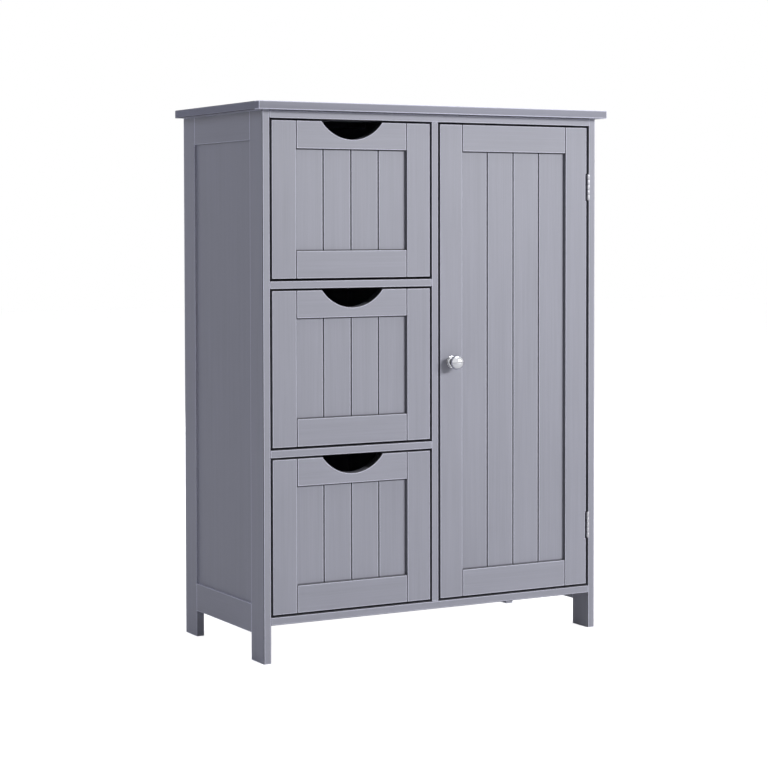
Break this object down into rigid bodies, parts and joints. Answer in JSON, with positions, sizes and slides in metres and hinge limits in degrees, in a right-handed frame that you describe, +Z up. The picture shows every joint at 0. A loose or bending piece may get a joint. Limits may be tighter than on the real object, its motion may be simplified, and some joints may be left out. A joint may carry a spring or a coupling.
{
  "type": "bathroom drawer cabinet",
  "caption": "Free-standing painted bathroom cabinet with a stack of drawers beside a cupboard door, grooved plank panels, finger cut-outs, a round knob and framed sides that end in legs.",
  "frame": {"origin": "on the floor, in the middle of the overall width and overall depth, knob included", "axes": "+X to the right along the front, +Y from the front to the back, +Z up"},
  "size_m": [0.6, 0.31, 0.81],
  "materials": {
    "painted_board": "satin cool grey paint, faintly brushed along the grain of each board",
    "drawer_board": "matt grey paint on the drawer box boards",
    "thin_board": "matt grey thin fibreboard",
    "runner_wood": "bare planed hardwood",
    "hinge_nickel": "nickel-plated pressed steel",
    "knob_chrome": "polished chrome plate",
    "screw_steel": "zinc-plated steel",
    "catch_plastic": "matt moulded plastic"
  },
  "bodies": {
    "cabinet": {"top_board": "painted_board", "bottom_board": "painted_board", "divider": "painted_board", "top_front_rail": "painted_board", "top_back_rail": "painted_board", "drawer_rails": "painted_board", "left_front_leg": "painted_board", "left_back_leg": "painted_board", "left_side_top_rail": "painted_board", "left_side_bottom_rail": "painted_board", "left_side_panel": "painted_board", "right_front_leg": "painted_board", "right_back_leg": "painted_board", "right_side_top_rail": "painted_board", "right_side_bottom_rail": "painted_board", "right_side_panel": "painted_board", "back_panel": "thin_board", "shelf": "painted_board", "shelf_pins": "hinge_nickel", "drawer_runners": "runner_wood", "door_catch": "catch_plastic", "frame_hinge_leaves": "hinge_nickel", "hinge_pins": "hinge_nickel", "frame_screws": "screw_steel"},
    "door": {"door_hinge_stile": "painted_board", "door_knob_stile": "painted_board", "door_top_rail": "painted_board", "door_bottom_rail": "painted_board", "door_panel": "painted_board", "door_knob": "knob_chrome", "catch_plate": "hinge_nickel", "door_hinge_leaves": "hinge_nickel", "door_screws": "screw_steel"},
    "bottom_drawer": {"bottom_drawer_left_stile": "painted_board", "bottom_drawer_right_stile": "painted_board", "bottom_drawer_top_rail": "painted_board", "bottom_drawer_bottom_rail": "painted_board", "bottom_drawer_front_panel": "painted_board", "bottom_drawer_left_side": "drawer_board", "bottom_drawer_right_side": "drawer_board", "bottom_drawer_back": "drawer_board", "bottom_drawer_bottom": "thin_board"},
    "middle_drawer": {"middle_drawer_left_stile": "painted_board", "middle_drawer_right_stile": "painted_board", "middle_drawer_top_rail": "painted_board", "middle_drawer_bottom_rail": "painted_board", "middle_drawer_front_panel": "painted_board", "middle_drawer_left_side": "drawer_board", "middle_drawer_right_side": "drawer_board", "middle_drawer_back": "drawer_board", "middle_drawer_bottom": "thin_board"},
    "top_drawer": {"top_drawer_left_stile": "painted_board", "top_drawer_right_stile": "painted_board", "top_drawer_top_rail": "painted_board", "top_drawer_bottom_rail": "painted_board", "top_drawer_front_panel": "painted_board", "top_drawer_left_side": "drawer_board", "top_drawer_right_side": "drawer_board", "top_drawer_back": "drawer_board", "top_drawer_bottom": "thin_board"}
  },
  "joints": [
    {"name": "door_hinge", "type": "hinge", "parent": "cabinet", "child": "door", "pos_m": [0.27425, -0.132, 0.42675], "axis": [0, 0, 1], "range_deg": [0, 180]},
    {"name": "bottom_drawer_slide", "type": "slide", "parent": "cabinet", "child": "bottom_drawer", "axis": [0, -1, 0], "range_m": [0, 0.2]},
    {"name": "middle_drawer_slide", "type": "slide", "parent": "cabinet", "child": "middle_drawer", "axis": [0, -1, 0], "range_m": [0, 0.2]},
    {"name": "top_drawer_slide", "type": "slide", "parent": "cabinet", "child": "top_drawer", "axis": [0, -1, 0], "range_m": [0, 0.2]}
  ]
}
